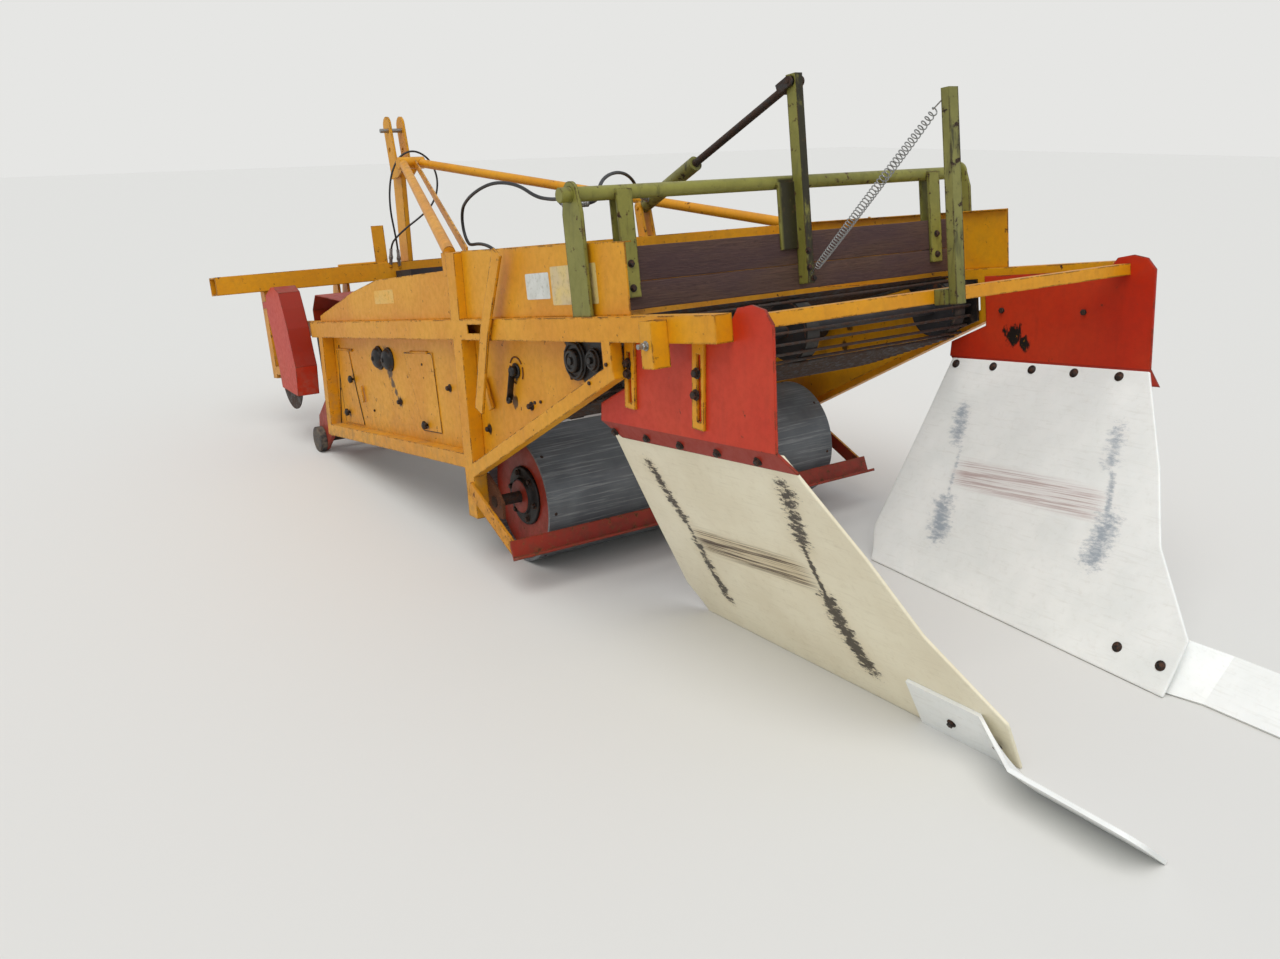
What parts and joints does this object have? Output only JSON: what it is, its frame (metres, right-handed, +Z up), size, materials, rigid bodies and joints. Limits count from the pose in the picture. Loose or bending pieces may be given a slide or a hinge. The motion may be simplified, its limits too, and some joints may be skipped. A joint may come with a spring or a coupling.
{
  "type": "onion lifter",
  "caption": "Rear-mounted onion lifter with share shaft, rod web, rear roller, tilting board and sheet flaps that lay the crop in a windrow",
  "frame": {"origin": "on the ground under the middle of the whole machine", "axes": "+Y forwards (direction of travel), +Z up, +X to the right"},
  "size_m": [2.42, 5.7446, 1.9156],
  "materials": {
    "black_steel": "black, dusty",
    "bright_steel": "bare machined steel",
    "dark_steel": "worn dark steel",
    "olive": "olive paint with rust",
    "red": "faded orange-red paint",
    "roller_plastic": "grey, streaked with soil",
    "rubber": "dusty black rubber",
    "white_plastic": "translucent cream sheet with rub marks",
    "wood": "weathered brown board",
    "yellow": "chipped golden yellow paint with rust"
  },
  "bodies": {
    "machine": {"aprons": "rubber", "bearing_covers": "black_steel", "coulter_legs": "yellow", "cross_tube": "yellow", "disc_guards": "red", "drag_strips": "white_plastic", "drive_drum": "black_steel", "drum_bearers": "black_steel", "flap_left": "white_plastic", "flap_right": "white_plastic", "front_beam": "yellow", "front_cover": "red", "gearbox": "black_steel", "guide_plate_left": "red", "guide_plate_right": "red", "hitch_pins": "bright_steel", "hose_drop": "rubber", "hose_feed": "rubber", "hose_mast": "rubber", "hose_ram": "rubber", "mast": "yellow", "mast_stays": "yellow", "pto_stub": "bright_steel", "rear_beam": "yellow", "return_spring": "dark_steel", "roller_bearers": "dark_steel", "roller_shaft": "dark_steel", "scraper": "red", "shaker_levers": "yellow", "share_carriers": "red", "share_hubs": "black_steel", "side_frame_left": "yellow", "side_frame_right": "yellow", "side_lining_left": "yellow", "side_lining_right": "yellow", "slotted_brackets": "yellow", "socket_tubes": "yellow", "swing_posts": "olive", "tall_post": "olive", "upper_panel_left": "yellow", "upper_panel_right": "yellow", "web_belts": "rubber", "web_rods": "dark_steel", "web_rollers": "black_steel"},
    "roller": {"roller_mantle": "roller_plastic", "roller_discs": "red"},
    "coulter_disc_left": {"coulter_disc_left": "dark_steel"},
    "coulter_disc_right": {"coulter_disc_right": "dark_steel"},
    "share_rotor": {"share_shaft": "dark_steel"},
    "board": {"swing_frame": "olive", "swing_board": "wood"},
    "ram_barrel": {"ram_barrel": "olive"},
    "ram_rod": {"ram_rod": "bright_steel"},
    "door_front_left": {"door_front_left": "yellow"},
    "door_rear_left": {"door_rear_left": "yellow"},
    "door_front_right": {"door_front_right": "yellow"},
    "door_rear_right": {"door_rear_right": "yellow"}
  },
  "joints": [
    {"name": "roller_spin", "type": "hinge", "parent": "machine", "child": "roller", "pos_m": [0, -0.15629, 0.273], "axis": [1, 0, 0], "continuous": true},
    {"name": "share_spin", "type": "hinge", "parent": "machine", "child": "share_rotor", "pos_m": [0, 1.91133, 0.07011], "axis": [1, 0, 0], "continuous": true},
    {"name": "coulter_spin_left", "type": "hinge", "parent": "machine", "child": "coulter_disc_left", "pos_m": [-0.96, 2.17351, 0.38497], "axis": [1, 0, 0], "continuous": true},
    {"name": "coulter_spin_right", "type": "hinge", "parent": "machine", "child": "coulter_disc_right", "pos_m": [0.96, 2.17351, 0.38497], "axis": [1, 0, 0], "continuous": true},
    {"name": "board_tilt", "type": "hinge", "parent": "machine", "child": "board", "pos_m": [0, -0.92804, 1.54185], "axis": [-1, 0, 0], "range_deg": [-5, 35], "deforming": ["return_spring"]},
    {"name": "ram_swing", "type": "hinge", "parent": "machine", "child": "ram_barrel", "pos_m": [0.02, 0.04115, 1.39669], "axis": [-1, 0, 0], "range_deg": [-1.39, 3.69]},
    {"name": "ram_stroke", "type": "slide", "parent": "ram_barrel", "child": "ram_rod", "axis": [0, -0.8917, 0.4526], "range_m": [-0.2055, 0.0319]},
    {"name": "door_front_left_swing", "type": "hinge", "parent": "machine", "child": "door_front_left", "pos_m": [-0.8668, 1.55245, 0.63101], "axis": [0, 0.9906, -0.1368], "range_deg": [0, 90]},
    {"name": "door_rear_left_swing", "type": "hinge", "parent": "machine", "child": "door_rear_left", "pos_m": [-0.8668, 0.54129, 0.78293], "axis": [0, 0.9877, -0.1561], "range_deg": [0, 90]},
    {"name": "door_front_right_swing", "type": "hinge", "parent": "machine", "child": "door_front_right", "pos_m": [0.8668, 1.55245, 0.63101], "axis": [0, -0.9906, 0.1368], "range_deg": [0, 90]},
    {"name": "door_rear_right_swing", "type": "hinge", "parent": "machine", "child": "door_rear_right", "pos_m": [0.8668, 0.54129, 0.78293], "axis": [0, -0.9877, 0.1561], "range_deg": [0, 90]}
  ],
  "couplings": [
    {"joint": "ram_swing", "follows": "board_tilt", "ratio": 0.077},
    {"joint": "ram_stroke", "follows": "board_tilt", "m_per_rad": -0.3315}
  ]
}
